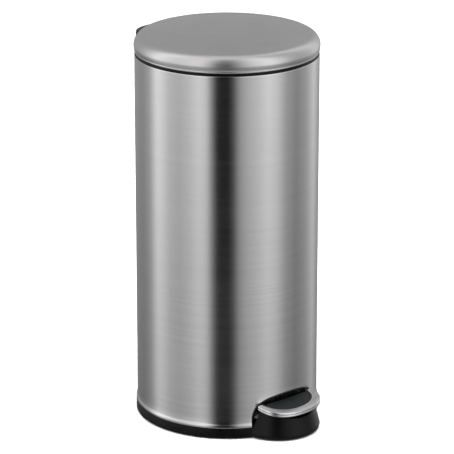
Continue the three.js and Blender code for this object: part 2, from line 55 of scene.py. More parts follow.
# ------------------------------------------------------------------ mesh helpers
def new_object(name, verts, faces, smooth=30.0):
    me = bpy.data.meshes.new(name)
    me.from_pydata([tuple(float(c) * MM for c in v) for v in verts], [], faces)
    me.validate(verbose=False)
    o = bpy.data.objects.new(name, me)
    bpy.context.scene.collection.objects.link(o)
    tidy(o, smooth)
    return o


def tidy(o, smooth=30.0, merge=2e-6):
    bm = bmesh.new()
    bm.from_mesh(o.data)
    bmesh.ops.remove_doubles(bm, verts=bm.verts, dist=merge)
    bmesh.ops.dissolve_degenerate(bm, edges=bm.edges, dist=1e-7)
    bmesh.ops.recalc_face_normals(bm, faces=bm.faces)
    bm.to_mesh(o.data)
    bm.free()
    shade(o, smooth)


def shade(o, deg):
    o.data.polygons.foreach_set("use_smooth", [True] * len(o.data.polygons))
    o.data.set_sharp_from_angle(angle=math.radians(deg))
    o.data.update()


def apply_modifiers(o):
    dg = bpy.context.evaluated_depsgraph_get()
    me = bpy.data.meshes.new_from_object(o.evaluated_get(dg))
    old = o.data
    o.modifiers.clear()
    o.data = me
    bpy.data.meshes.remove(old)
    return o


def boolean(o, other, op="DIFFERENCE"):
    m = o.modifiers.new("cut", "BOOLEAN")
    m.operation, m.object, m.solver = op, other, "EXACT"
    apply_modifiers(o)
    if len(o.data.polygons) < 4:
        raise RuntimeError("a cut left nothing of " + o.name)
    me = other.data
    bpy.data.objects.remove(other)
    bpy.data.meshes.remove(me)
    return o


def bevel(o, width, segments=2, angle=40.0, smooth=30.0):
    m = o.modifiers.new("edge", "BEVEL")
    m.width, m.segments, m.limit_method, m.angle_limit = width * MM, segments, "ANGLE", math.radians(angle)
    m.use_clamp_overlap = True
    m.harden_normals = False
    m.miter_outer = "MITER_ARC"
    apply_modifiers(o)
    shade(o, smooth)
    return o


def revolve(name, profile, n=256, closed=True, skip=None, extra=(), smooth=30.0):
    """Turns an (r, z) outline round Z. extra adds columns at these angles; skip(x, y, z) drops faces."""
    angles = sorted(set([round(2 * math.pi * i / n, 9) for i in range(n)] + [round(a % (2 * math.pi), 9) for a in extra]))
    verts, faces, k = [], [], len(profile)
    for a in angles:
        for r, z in profile:
            verts.append((r * math.sin(a), -r * math.cos(a), z))
    m = len(angles)
    for i in range(m):
        j = (i + 1) % m
        for q in range(k if closed else k - 1):
            p = (q + 1) % k
            f = [i * k + q, j * k + q, j * k + p, i * k + p]
            c = np.mean([verts[v] for v in f], axis=0)
            if skip and skip(*c):
                continue
            if profile[q][0] < 1e-6 and profile[p][0] < 1e-6:
                continue
            faces.append(f)
    return new_object(name, verts, faces, smooth)


def loft(name, rings, smooth=30.0, caps=True):
    n = len(rings[0])
    verts = [tuple(v) for r in rings for v in r]
    faces = []
    for k in range(len(rings) - 1):
        for i in range(n):
            j = (i + 1) % n
            faces.append([k * n + i, k * n + j, (k + 1) * n + j, (k + 1) * n + i])
    if caps:
        faces.append(list(range(n))[::-1])
        faces.append([(len(rings) - 1) * n + i for i in range(n)])
    return new_object(name, verts, faces, smooth)


def box(name, x0, x1, y0, y1, z0, z1):
    return loft(name, [[(x0, y0, z), (x1, y0, z), (x1, y1, z), (x0, y1, z)] for z in (z0, z1)], 30)


def cyl(name, axis, r, a0, a1, p, q, n=40):
    ring = []
    for i in range(n):
        t = 2 * math.pi * i / n
        ring.append((r * math.cos(t), r * math.sin(t)))
    def put(u, v, w):
        return {"x": (w, p + u, q + v), "y": (p + u, w, q + v), "z": (p + u, q + v, w)}[axis]
    return loft(name, [[put(u, v, w) for u, v in ring] for w in (a0, a1)], 30)


def prism_x(name, yz, x0, x1):
    return loft(name, [[(x, y, z) for y, z in yz] for x in (x0, x1)], 30)


def spline(pts, per=6):
    """Catmull-Rom through the points, ends kept."""
    p = [np.array(q, float) for q in pts]
    p = [2 * p[0] - p[1]] + p + [2 * p[-1] - p[-2]]
    out = []
    for i in range(1, len(p) - 2):
        for s in range(per):
            t = s / per
            a, b, c, d = p[i - 1], p[i], p[i + 1], p[i + 2]
            out.append(0.5 * ((2 * b) + (c - a) * t + (2 * a - 5 * b + 4 * c - d) * t * t + (3 * b - a - 3 * c + d) * t ** 3))
    out.append(p[-2])
    return out


def half_curve(half, per=5):
    """A smooth version of a half outline. Its last, straight stretch stays straight, and its top is level at x = 0."""
    curved = [(-half[1][0], half[1][1])] + list(half[:-1])
    s = spline(curved, per)[per:]
    s[0] = np.array([0.0, s[0][1]])
    return [tuple(map(float, q)) for q in s] + [half[-1]]


def mirrored(half):
    return list(half) + [(-x, z) for x, z in reversed(half) if x > 1e-6]


def grown(half, d):
    out = []
    for i, (x, z) in enumerate(half):
        if i == 0:
            out.append((0.0, z + d)); continue
        if i == len(half) - 1:
            out.append((x + d, z)); continue
        (xa, za), (xb, zb) = half[i - 1], half[i + 1]
        l = math.hypot(xb - xa, zb - za)
        out.append((x + d * (za - zb) / l, z + d * (xb - xa) / l))
    return out


# ------------------------------------------------------------------ materials
def principled(name):
    m = bpy.data.materials.new(name)
    m.use_nodes = True
    nt = m.node_tree
    bsdf = next(n for n in nt.nodes if n.type == "BSDF_PRINCIPLED")
    return m, nt, bsdf


def node(nt, kind, **values):
    n = nt.nodes.new(kind)
    for k, v in values.items():
        setattr(n, k, v)
    return n


def noise(nt, scale, vec=(1, 1, 1), detail=3.0, rough=0.55, loc=(0, 0, 0)):
    tc = node(nt, "ShaderNodeTexCoord")
    mp = node(nt, "ShaderNodeMapping")
    mp.inputs["Scale"].default_value = vec
    mp.inputs["Location"].default_value = loc
    nt.links.new(tc.outputs["Object"], mp.inputs["Vector"])
    t = node(nt, "ShaderNodeTexNoise")
    t.inputs["Scale"].default_value = scale
    t.inputs["Detail"].default_value = detail
    t.inputs["Roughness"].default_value = rough
    nt.links.new(mp.outputs["Vector"], t.inputs["Vector"])
    return t.outputs["Fac"]


def mapped(nt, value, lo, hi, a=0.3, b=0.7):
    r = node(nt, "ShaderNodeMapRange")
    r.inputs["From Min"].default_value, r.inputs["From Max"].default_value = a, b
    r.inputs["To Min"].default_value, r.inputs["To Max"].default_value = lo, hi
    nt.links.new(value, r.inputs["Value"])
    return r.outputs["Result"]


def mix_colour(nt, fac, a, b):
    m = node(nt, "ShaderNodeMix", data_type="RGBA")
    nt.links.new(fac, m.inputs["Factor"])
    for k, c in (("A", a), ("B", b)):
        s = next(i for i in m.inputs if i.name == k and i.type == "RGBA")
        if isinstance(c, tuple):
            s.default_value = (*c, 1)
        else:
            nt.links.new(c, s)
    return next(o for o in m.outputs if o.type == "RGBA")


def add_values(nt, a, b, wa=1.0, wb=1.0):
    m1 = node(nt, "ShaderNodeMath", operation="MULTIPLY"); nt.links.new(a, m1.inputs[0]); m1.inputs[1].default_value = wa
    m2 = node(nt, "ShaderNodeMath", operation="MULTIPLY_ADD"); nt.links.new(b, m2.inputs[0]); m2.inputs[1].default_value = wb
    nt.links.new(m1.outputs[0], m2.inputs[2])
    return m2.outputs[0]


def bump(nt, bsdf, height, strength, distance):
    b = node(nt, "ShaderNodeBump")
    b.inputs["Strength"].default_value = strength
    b.inputs["Distance"].default_value = distance
    nt.links.new(height, b.inputs["Height"])
    nt.links.new(b.outputs["Normal"], bsdf.inputs["Normal"])


def brushed(name, tint_a, tint_b, rough, spread, grain, anisotropy, rotation, bump_strength, swirl=False):
    """Brushed steel: fine scratches along the brushing, broad streaks, faint smudges."""
    m, nt, s = principled(name)
    fine = noise(nt, 1.0, grain, 4.0, 0.6)
    broad = noise(nt, 1.0, tuple(g * 0.13 for g in grain), 3.0, 0.5, (3.1, 1.7, 0.4))
    smudge = noise(nt, 9.0, (1, 1, 0.7), 2.0, 0.5, (0.3, 0.9, 0.2))
    streak = add_values(nt, fine, broad, 0.55, 0.45)
    nt.links.new(mix_colour(nt, mapped(nt, streak, 0, 1, 0.35, 0.65), tint_a, tint_b), s.inputs["Base Color"])
    r = add_values(nt, mapped(nt, streak, rough - spread, rough + spread), mapped(nt, smudge, -0.02, 0.03), 1.0, 1.0)
    nt.links.new(r, s.inputs["Roughness"])
    s.inputs["Metallic"].default_value = 1.0
    s.inputs["Anisotropic"].default_value = anisotropy
    s.inputs["Anisotropic Rotation"].default_value = rotation
    if anisotropy > 0:
        t = node(nt, "ShaderNodeTangent", direction_type="RADIAL", axis="Z")
        nt.links.new(t.outputs["Tangent"], s.inputs["Tangent"])
    bump(nt, s, fine, bump_strength, 0.00005)
    return m


def moulded(name, base, lift, rough, grain_scale, bump_strength, coat=0.0, spec=0.35):
    """Moulded plastic or rubber: faint mottling, fine texture, slightly uneven gloss."""
    m, nt, s = principled(name)
    mottle = noise(nt, 22.0, (1, 1, 1), 3.0, 0.6)
    grain = noise(nt, grain_scale, (1, 1, 1), 2.0, 0.5)
    wear = noise(nt, 60.0, (1, 1, 0.4), 5.0, 0.65, (1.2, 0.3, 2.2))
    nt.links.new(mix_colour(nt, mapped(nt, add_values(nt, mottle, wear, 0.6, 0.4), 0, 1, 0.35, 0.68), base, tuple(c * lift for c in base)), s.inputs["Base Color"])
    nt.links.new(add_values(nt, mapped(nt, mottle, rough - 0.05, rough + 0.05), mapped(nt, wear, -0.03, 0.05), 1, 1), s.inputs["Roughness"])
    s.inputs["Specular IOR Level"].default_value = spec
    s.inputs["Coat Weight"].default_value = coat
    s.inputs["Coat Roughness"].default_value = 0.2
    bump(nt, s, grain, bump_strength, 0.0001)
    return m


M = {
    "shell": brushed("steel_body", (0.595, 0.588, 0.595), (0.632, 0.625, 0.630), 0.20, 0.02, (7, 7, 1700), 0.85, 0.25, 0.05),
    "lid": brushed("steel_lid", (0.585, 0.575, 0.575), (0.635, 0.625, 0.625), 0.33, 0.02, (60, 60, 700), 0.0, 0.0, 0.06),
    "hoop": brushed("steel_pedal", (0.60, 0.60, 0.61), (0.70, 0.70, 0.71), 0.24, 0.03, (160, 900, 160), 0.0, 0.0, 0.10),
    "zinc": brushed("zinc_plate", (0.40, 0.41, 0.43), (0.52, 0.53, 0.54), 0.38, 0.06, (90, 90, 90), 0.0, 0.0, 0.10),
    "black": moulded("black_moulding", (0.0016, 0.0016, 0.0018), 1.8, 0.30, 2600.0, 0.05, 0.0, 0.16),
    "bucket": moulded("bucket_moulding", (0.028, 0.028, 0.030), 1.4, 0.52, 1700.0, 0.18),
    "pad": moulded("pad_rubber", (0.007, 0.0085, 0.0085), 1.6, 0.55, 1500.0, 0.35, 0.0, 0.25),
    "feet": moulded("foot_rubber", (0.016, 0.016, 0.016), 1.5, 0.75, 1300.0, 0.4),
}


def finish_piece(o, mat, body, slot, *nodes):
    o.data.materials.clear()
    o.data.materials.append(M[mat])
    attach(o, body)
    if nodes:
        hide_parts(*nodes)
    return o


# ------------------------------------------------------------------ steel body
ARCH_S = half_curve(ARCH, 6)
SHELL_ARCH = grown(ARCH_S, 0.35)
ax = np.array([x for x, z in SHELL_ARCH[:-1]])
az = np.array([z for x, z in SHELL_ARCH[:-1]])
HALF_ARCH = float(ax[-1])
ARCH_LOW = float(az[-1])


def body_skin():
    r = SHELL_R
    low = [(BEAD_R - 0.5, SHELL_Z0), (BEAD_R - 0.12, SHELL_Z0 + 0.15), (BEAD_R, SHELL_Z0 + 0.6), (BEAD_R, SHELL_Z0 + 2.6), (BEAD_R - 0.05, SHELL_Z0 + 3.6), (BEAD_R - 0.3, SHELL_Z0 + 4.6),
           (r + 1.0, SHELL_Z0 + 5.2), (r + 0.4, SHELL_Z0 + 5.9), (r + 0.08, SHELL_Z0 + 6.6), (r, SHELL_Z0 + 7.4), (r, ARCH_LOW)]
    up = [0.004, 0.02, 0.05, 0.1, 0.2, 0.35, 0.5, 0.65, 0.8, 0.9, (582 - ARCH_LOW) / (SHELL_Z1 - ARCH_LOW), 0.985, 0.997]
    top = [(r, SHELL_Z1 - 0.8), (r - 0.12, SHELL_Z1 - 0.3), (r - 0.45, SHELL_Z1)]
    n = 288
    angles = [2 * math.pi * i / n for i in range(n)]
    special = [math.asin(HALF_ARCH / r), math.asin(HALF_ARCH / r) - 0.0012]
    special += [math.asin(x / r) for x in ax if x > 1 and x < HALF_ARCH]
    angles += [s for a in special for s in (a, 2 * math.pi - a)]
    angles += [math.pi - math.asin(7 / r), math.pi + math.asin(7 / r)]
    angles = sorted(set(round(a, 7) for a in angles))
    verts, faces = [], []
    K = len(low) + len(up) + len(top)
    for a in angles:
        x = r * math.sin(a)
        front = math.cos(a) > 0 and abs(x) < HALF_ARCH + 1e-4
        z0 = float(np.interp(abs(x), ax, az)) if front else ARCH_LOW
        col = list(low[:-1]) + [(r, z0)] + [(r, z0 + (SHELL_Z1 - z0) * t) for t in up[:-1]] + [(r, SHELL_Z1 - 2.0)] + list(top)
        for rr, z in col:
            verts.append((rr * math.sin(a), -rr * math.cos(a), z))
    m = len(angles)
    for i in range(m):
        j = (i + 1) % m
        a0, a1 = angles[i], angles[j] if j else angles[j] + 2 * math.pi
        mid = (a0 + a1) / 2
        xm = r * math.sin(mid)
        front = math.cos(mid) > 0 and abs(xm) < HALF_ARCH
        rear = math.cos(mid) < 0 and abs(xm) < 7
        for q in range(K - 1):
            if front and q < len(low) - 1:
                continue
            zc = (verts[i * K + q][2] + verts[i * K + q + 1][2]) / 2
            if rear and zc > 582:
                continue
            faces.append([i * K + q, j * K + q, j * K + q + 1, i * K + q + 1])
    o = new_object("body_skin", verts, faces, 35)
    s = o.modifiers.new("wall", "SOLIDIFY")
    s.thickness, s.offset, s.use_even_offset = SHELL_T * 0.9 * MM, -1.0, False
    apply_modifiers(o)
    bevel(o, 0.22, 2, 50, 35)
    return o


shell = body_skin()
finish_piece(shell, "shell", "body", "brushed_shell", "outer_shell")


# ------------------------------------------------------------------ lid
def lid_profile():
    c = (LID_R - SHOULDER_R, LID_Z0 + LID_WALL)

    def lean(p):
        return (p[0] - 1.25 * max(0.0, 1 - (p[1] - LID_Z0) / LID_WALL), p[1])
    pts = [(LID_R - 1.5, LID_Z0 + 1.2), (LID_R - 1.55, LID_Z0 + 0.5), (LID_R - 1.15, LID_Z0 + 0.06), (LID_R - 0.6, LID_Z0), (LID_R - 0.15, LID_Z0 + 0.2), (LID_R, LID_Z0 + 0.8), (LID_R - 0.02, LID_Z0 + 1.6),
           (LID_R - 0.32, LID_Z0 + 2.2), (LID_R - 0.34, LID_Z0 + 2.9), (LID_R - 0.1, LID_Z0 + 3.6), (LID_R, LID_Z0 + 4.8)]
    pts = [lean(p) for p in pts]
    end = 90 - DOME_DEG
    for i in range(25):
        a = math.radians(end * i / 24)
        pts.append((c[0] + SHOULDER_R * math.cos(a), c[1] + SHOULDER_R * math.sin(a)))
    e = pts[-1]
    s = math.radians(DOME_DEG)
    R = e[0] / math.sin(s)
    zc = e[1] - R * math.cos(s)
    for i in range(1, 25):
        a = s * (1 - i / 24)
        pts.append((0.0 if i == 24 else R * math.sin(a), zc + R * math.cos(a)))
    return pts


def lid_skin():
    prof = lid_profile()
    e = [math.pi - math.asin(20.8 / LID_R), math.pi + math.asin(20.8 / LID_R)]
    o = revolve("lid_skin", prof, 256, closed=False, extra=e, smooth=35,
                skip=lambda x, y, z: y > 0 and abs(x) < 20.8 and z < LID_Z0 + 9.0)
    s = o.modifiers.new("wall", "SOLIDIFY")
    s.thickness, s.offset, s.use_even_offset = 0.7 * MM, -1.0, False
    apply_modifiers(o)
    shade(o, 35)
    return o


lid = lid_skin()
finish_piece(lid, "lid", "lid", "brushed_lid", "lid_shell")


def round_profile(pts, rad, seg=4):
    """Rounds the convex and concave corners of a closed (r, z) outline that have a radius given."""
    out, n = [], len(pts)
    for i in range(n):
        p, a, b = np.array(pts[i], float), np.array(pts[i - 1], float), np.array(pts[(i + 1) % n], float)
        r = rad[i] if isinstance(rad, (list, tuple)) else rad
        if r <= 0 or p[0] < 1e-6:
            out.append(tuple(p)); continue
        u, v = (a - p), (b - p)
        lu, lv = np.linalg.norm(u), np.linalg.norm(v)
        r = min(r, lu * 0.45, lv * 0.45)
        s, t = p + u / lu * r, p + v / lv * r
        for k in range(seg + 1):
            w = k / seg
            out.append(tuple((1 - w) ** 2 * s + 2 * w * (1 - w) * p + w * w * t))
    return out


# ------------------------------------------------------------------ collar, liner, bucket
collar_prof = round_profile([(143, 575), (145.2, 575), (145.2, 597.8), (144.7, 598.3), (144.7, 602.6), (133, 602.6), (133, 593.5), (130, 593.5), (130, 590.5), (141, 590.5), (143, 588)],
                            [0.4, 0.4, 0.2, 0.2, 0.7, 0.7, 0.3, 0.5, 0.5, 0.5, 0.5])
collar = revolve("collar_ring", collar_prof, 224)
boolean(collar, box("c", -9, 9, 128, 160, 570, 620))
shade(collar, 30)
finish_piece(collar, "black", "body", "black_plastic", "top_collar")

liner_prof = round_profile([(0, 622.5), (138.5, 622.5), (138.5, 609), (145.6, 609), (145.6, 606), (136, 606), (136, 620), (124, 620), (123.2, 620.5), (116.8, 620.5), (116, 620), (0, 620)],
                           [0, 0.6, 0.5, 0.6, 0.6, 0.7, 1.0, 0.2, 0.3, 0.3, 0.2, 0])
liner = revolve("lid_liner_skin", liner_prof, 224)
boolean(liner, box("c", -20.8, 20.8, 129, 170, 600, 619))
shade(liner, 30)
finish_piece(liner, "bucket", "lid", "bucket_plastic", "lid_liner")

bucket_prof = [(0, 56)] + round_profile([(112, 56), (114, 57.2), (121, 57.2), (126, 62), (129.6, 590), (129.6, 593.8), (132.6, 593.8), (132.6, 596.8), (127.6, 596.8), (127.6, 590), (124, 63.5), (118.5, 58.4), (3, 58.4)],
                                        [0.4, 0.4, 2, 2.2, 0.3, 0.3, 0.9, 1.2, 1.1, 0.3, 3, 3, 0], 5) + [(0, 58.4)]
bucket = revolve("bucket_skin", bucket_prof, 192, closed=False)
for a in (-130, -50):
    t = math.radians(a)
    c, s = math.cos(t), math.sin(t)
    rings = []
    for z, k in ((576.4, 1.2), (577.6, 0.0), (580.4, 0.0)):
        rings.append([(u * c - v * s, u * s + v * c, z) for u, v in ((118.6 + k, -6.8), (128.2, -6.8), (128.2, 6.8), (118.6 + k, 6.8))])
    boolean(bucket, loft("nub", rings), "UNION")
boolean(bucket, cyl("c", "x", 2.4, -140, 140, 0, 583, 24))
tidy(bucket, 30)
finish_piece(bucket, "bucket", "body", "bucket_plastic", "inner_bucket")


# ------------------------------------------------------------------ base with its bumper
def bump_r(z):
    return float(np.interp(z, [0, 1.5, 2.2, 4, 7.6, 8.5, 9.2, 10.5, 20, 31, 42, 48], [64.6, 65.2, 65.9, 66.7, 67.35, 67.4, 67.2, 66.6, 64.6, 60.8, 57.0, 55.0]))


def bump_ring(z, d, n=128):
    r = bump_r(z) - d
    return [(r * math.sin(2 * math.pi * i / n), -BUMP_C - r * math.cos(2 * math.pi * i / n), z) for i in range(n)]


def wall_top(y):
    return 43.8 - 0.32 * (-y - 150)


def base_skin():
    ring = round_profile([(142.4, 1.5), (148.3, 1.5), (148.3, 18.2), (145.2, 18.2), (145.2, 47), (0, 47), (0, 44), (142.4, 44)], [0.6, 1.3, 0.8, 0.2, 1.0, 0, 0, 1.5], 4)
    o = revolve("base_skin", ring, 224)
    boolean(o, box("c", -74, 74, -150, -100, 18.5, 60))
    boolean(o, box("c", -60, 60, -160, -104, 18.5, 60))
    outer_z = [1.5, 2.2, 4, 7.6, 8.5, 9.2, 10.5, 14, 20, 26, 31, 37, 42, 47.8]
    wall = loft("wall", [bump_ring(z, 0) for z in outer_z], 30)
    boolean(wall, loft("c", [bump_ring(z, 2.6) for z in [5.0, 8, 9.5, 14, 20, 26, 31, 37, 42, 49]], 30))
    boolean(wall, cyl("c", "z", 142.4, -1, 60, 0, 0, 224))
    # sloping top edge
    boolean(wall, prism_x("c", [(-200, wall_top(-200)), (-60, wall_top(-60)), (-60, 90), (-200, 90)], -90, 90))
    boolean(wall, cyl("c", "z", HOOD_R + 0.35, 18.4, 60, 0, 0, 224))
    bevel(wall, 0.9, 3, 55, 35)
    boolean(o, wall, "UNION")
    for a in (45, 135, 225, 315):
        boolean(o, cyl("c", "z", 12, 3, 45, 128 * math.cos(math.radians(a)), 128 * math.sin(math.radians(a)), 48), "UNION")
    for s in (-1, 1):
        x0, x1 = (16, 21) if s > 0 else (-21, -16)
        boolean(o, prism_x("c", [(-98, 45), (-96.5, 17), (-94.6, 14.9), (-93, 14), (-87, 14), (-85.2, 14.9), (-83.5, 17), (-82, 45)], x0, x1), "UNION")
        boolean(o, box("c", 30 if s > 0 else -33, 33 if s > 0 else -30, -96, 138, 34, 45), "UNION")
    boolean(o, cyl("c", "x", 3.3, -30, 30, PIVOT_Y, PIVOT_Z, 32))
    boolean(o, box("c", -11, 11, 128, 147.2, -1, 44))
    boolean(o, box("c", -11, 11, 131, 147, 18.4, 60))
    tidy(o, 30)
    return o


base = base_skin()
finish_piece(base, "black", "body", "black_plastic", "base_moulding")


# ------------------------------------------------------------------ hood round the pedal
def ring_at(half, fwd):
    return [(x, -(fwd(x) if callable(fwd) else fwd), z) for x, z in mirrored(half)]


def on_cyl(r):
    return lambda x: math.sqrt(r * r - x * x)


def blend_half(a, b, t):
    return [(xa + (xb - xa) * t, za + (zb - za) * t) for (xa, za), (xb, zb) in zip(a, b)]


def hood_skin():
    A, Mo = half_curve(ARCH, 6), half_curve(MOUTH, 5)

    def rim(d):
        return [(x, max(z, 18.8)) for x, z in grown(A, d)]
    rings = [ring_at(A, 112), ring_at(A, on_cyl(SHELL_R - 2)), ring_at(A, on_cyl(HOOD_R - 0.9))]
    rings += [ring_at(rim(-0.08), on_cyl(HOOD_R - 0.45)), ring_at(rim(-0.35), on_cyl(HOOD_R - 0.14)), ring_at(rim(-0.8), on_cyl(HOOD_R))]
    o = loft("hood_skin", rings, 35)
    boolean(o, box("c", -54, 54, -170, -100, 10, 50))
    boolean(o, cyl("c", "z", 139.5, 0, 90, 0, 0, 224))
    boolean(o, loft("c", [ring_at(Mo, 100), ring_at(Mo, 160)], 35))
    bevel(o, 0.5, 2, 50, 35)
    tidy(o, 35)
    return o


hood = hood_skin()
finish_piece(hood, "black", "body", "black_plastic", "pedal_surround")

# ------------------------------------------------------------------ pedal
CT = math.cos(math.atan(P_SLOPE))
ST = math.sin(math.atan(P_SLOPE))


def at(u, v, w):
    return (v, -(P_FWD + (u - P_FWD) * CT), P_Z - (u - P_FWD) * ST + w)


def outline(c0, F, W, n, back, m=72):
    lim = math.acos(((back - c0) / F) ** (n / 2)) if back > c0 else math.pi / 2
    p = []
    for i in range(m + 1):
        a = -lim + 2 * lim * i / m
        c, s = math.cos(a), math.sin(a)
        p.append((max(back, c0) if i in (0, m) else c0 + F * abs(c) ** (2 / n), W * math.copysign(abs(s) ** (2 / n), s)))
    if back < c0:
        p = [(back, -W)] + p + [(back, W)]
    return p


def hoop_skin():
    """One section swept round the horseshoe: turned-down rim, rolled outer edge with a fine groove, flat top, rounded inner edge."""
    m = 96
    O = outline(140, 45.2, 60, 2.35, 140.4, m)
    I = outline(140, 33.3, 46.5, 2.2, 140.4, m)
    verts, faces = [], []
    sect = None
    for i in range(m + 1):
        o, n_ = np.array(O[i]), np.array(I[i])
        d = (n_ - o)
        L = np.linalg.norm(d)
        d = d / L
        # (distance in from the outer edge, height)
        s = [(0.55, -7.0), (0.15, -6.85), (0.0, -6.4), (0.0, -5.2), (0.28, -4.75), (0.30, -4.3), (0.05, -3.9), (0.0, -3.4), (0.0, -2.3), (0.12, -1.35), (0.5, -0.6), (1.1, -0.16), (1.9, -0.02),
             (2.5, 0.0), (2.9, -0.22), (3.3, -0.24), (3.7, -0.02), (4.3, 0.0), (L * 0.55, -0.02), (L - 1.6, -0.05), (L - 0.8, -0.2), (L - 0.25, -0.55), (L - 0.02, -1.1), (L - 0.02, -1.45), (L - 0.3, -1.6), (L * 0.5, -1.6),
             (2.6, -1.6), (1.9, -1.9), (1.62, -2.5), (1.6, -6.6), (1.4, -6.95), (1.0, -7.0)]
        for q, w in s:
            p = o + d * q
            verts.append(at(p[0], p[1], w))
        sect = len(s)
    for i in range(m):
        for q in range(sect):
            p = (q + 1) % sect
            faces.append([i * sect + q, (i + 1) * sect + q, (i + 1) * sect + p, i * sect + p])
    faces.append(list(range(sect)))
    faces.append([m * sect + q for q in range(sect)][::-1])
    return new_object("hoop_skin", verts, faces, 40)


hoop = hoop_skin()
finish_piece(hoop, "hoop", "pedal", "pedal_steel", "pedal_hoop")


def pad_skin():
    rings = []
    def ring(d, w):
        return [at(u, v, w) for u, v in outline(140, 33.3 - d, 46.5 - d, 2.2, 142.9 + max(d - 0.5, 0), 72)]
    for d, w in ((0.55, -1.6), (0.5, -1.2), (0.5, -0.5), (0.62, -0.12), (0.95, 0.12), (1.5, 0.22), (3.2, 0.24), (3.5, -0.05), (3.9, -0.12), (4.3, -0.05), (4.6, 0.2), (7, 0.26), (12, 0.28)):
        rings.append(ring(d, w))
    return loft("pad_skin", rings, 35)


pad = pad_skin()
finish_piece(pad, "pad", "pedal", "pad_rubber", "pedal_pad")


def slab(name, o, w0, w1):
    return loft(name, [[at(u, v, w0) for u, v in o], [at(u, v, w1) for u, v in o]], 35)


def carrier_skin():
    def car(d):
        return outline(136, 39.5 - d, 43 - d, 2.2, 136, 72)
    def out(d):
        return outline(140, 45.2 - d, 60 - d, 2.35, 140.4, 72)
    o = slab("carrier_skin", car(0), -12.5, -2.4)
    boolean(o, slab("c", out(2.1), -3.4, -1.9), "UNION")
    boolean(o, slab("c", [(130 if u < 137 else u, v) for u, v in car(2.2)], -16, -5.3))
    boolean(o, slab("c", [(136, -15), (160, -15), (160, 15), (136, 15)], -8.6, -5), "UNION")
    for v in (-8, 8):
        ring = [(150 + 1.8 * math.cos(2 * math.pi * i / 24), v + 1.8 * math.sin(2 * math.pi * i / 24)) for i in range(24)]
        boolean(o, slab("c", ring, -14, -4.4))
    tidy(o, 35)
    return o


carrier = carrier_skin()
finish_piece(carrier, "black", "pedal", "black_plastic", "pedal_carrier")


# ------------------------------------------------------------------ hinge cover
def cover_skin():
    def plan(hw, depth, cy, pw, m=112):
        p = []
        for i in range(m):
            a = 2 * math.pi * i / m
            c, s = math.cos(a), math.sin(a)
            p.append((hw * math.copysign(abs(c) ** (2 / pw), c), cy + depth * math.copysign(abs(s) ** (2 / pw), s)))
        return p
    def rings(hw, d, zs):
        return [[(x, y, z) for x, y in plan(hw - k, d - k, 146, 2.5)] for z, k in zs]
    o = loft("cover_skin", rings(48, 44, [(520, 9), (520.5, 7.2), (521.6, 5.6), (523, 4.3), (526, 2.6), (530, 1.3), (535, 0.4), (540, 0), (604.5, 0), (606.4, 0.25), (607.8, 0.9), (608.7, 1.9), (609, 3.2)]), 35)
    boolean(o, loft("c", rings(45.8, 41.8, [(523, 8), (531, 2), (541, 0), (606.6, 0)]), 35))
    boolean(o, box("c", -33, 33, 120, 170, 585, 640))
    boolean(o, box("c", -60, 60, 90, 152.5, 600.5, 640))
    for x in (-13, 13):
        boolean(o, cyl("c", "y", 5.2, 152.4, 189.0, x, 561, 32), "UNION")
        boolean(o, cyl("c", "y", 2.3, 130, 200, x, 561, 24))
        boolean(o, cyl("c", "y", 4.1, 156.4, 200, x, 561, 28))
    boolean(o, cyl("c", "z", SHELL_R + 0.3, 400, 700, 0, 0, 224))
    tidy(o, 35)
    return o


cover = cover_skin()
finish_piece(cover, "black", "body", "black_plastic", "hinge_cover")

# ------------------------------------------------------------------ CAD nodes that stay, with their finish
slots = {s["node"]: s["material_slot"] for s in frame["record"]["subparts"]}
look = {"zinc_steel": "zinc", "black_plastic": "black", "bucket_plastic": "bucket", "foot_rubber": "feet", "pad_rubber": "pad", "pedal_steel": "hoop", "brushed_shell": "shell", "brushed_lid": "lid"}
for name, o in frame["nodes"].items():
    mat = M[look[slots[name]]]
    if not o.material_slots:
        o.data.materials.append(mat)
    for s in o.material_slots:
        s.material = mat

# ------------------------------------------------------------------ floor, light, camera
AZ = math.radians(42.0)                      # the camera's place round the bin


def floor_piece():
    n, R = 96, 14.0
    verts = [(0, 0, 0)] + [(R * math.cos(2 * math.pi * i / n), R * math.sin(2 * math.pi * i / n), 0) for i in range(n)]
    me = bpy.data.meshes.new("studio_floor")
    me.from_pydata(verts, [], [[0, 1 + i, 1 + (i + 1) % n] for i in range(n)])
    o = bpy.data.objects.new("studio_floor", me)
    bpy.context.scene.collection.objects.link(o)
    m, nt, s = principled("floor_paint")
    nt.links.new(mix_colour(nt, noise(nt, 3.0), (0.90, 0.90, 0.90), (0.93, 0.93, 0.93)), s.inputs["Base Color"])
    s.inputs["Roughness"].default_value = 0.9
    s.inputs["Specular IOR Level"].default_value = 0.1
    me.materials.append(m)
    o.visible_glossy = False
    return o


floor_piece()

world = bpy.data.worlds.new("studio")
bpy.context.scene.world = world
world.use_nodes = True
wt = world.node_tree
wt.nodes.clear()
out = wt.nodes.new("ShaderNodeOutputWorld")
tc = wt.nodes.new("ShaderNodeTexCoord")
sep = wt.nodes.new("ShaderNodeSeparateXYZ")
rot = wt.nodes.new("ShaderNodeMapping")
rot.vector_type = "POINT"
rot.inputs["Rotation"].default_value = (0, 0, AZ)
wt.links.new(tc.outputs["Generated"], rot.inputs["Vector"])
wt.links.new(rot.outputs["Vector"], sep.inputs["Vector"])


def wmath(op, a, b=None, c=None):
    m = wt.nodes.new("ShaderNodeMath")
    m.operation = op
    for i, v in enumerate((a, b, c)):
        if v is None:
            continue
        if isinstance(v, (int, float)):
            m.inputs[i].default_value = v
        else:
            wt.links.new(v, m.inputs[i])
    return m.outputs[0]


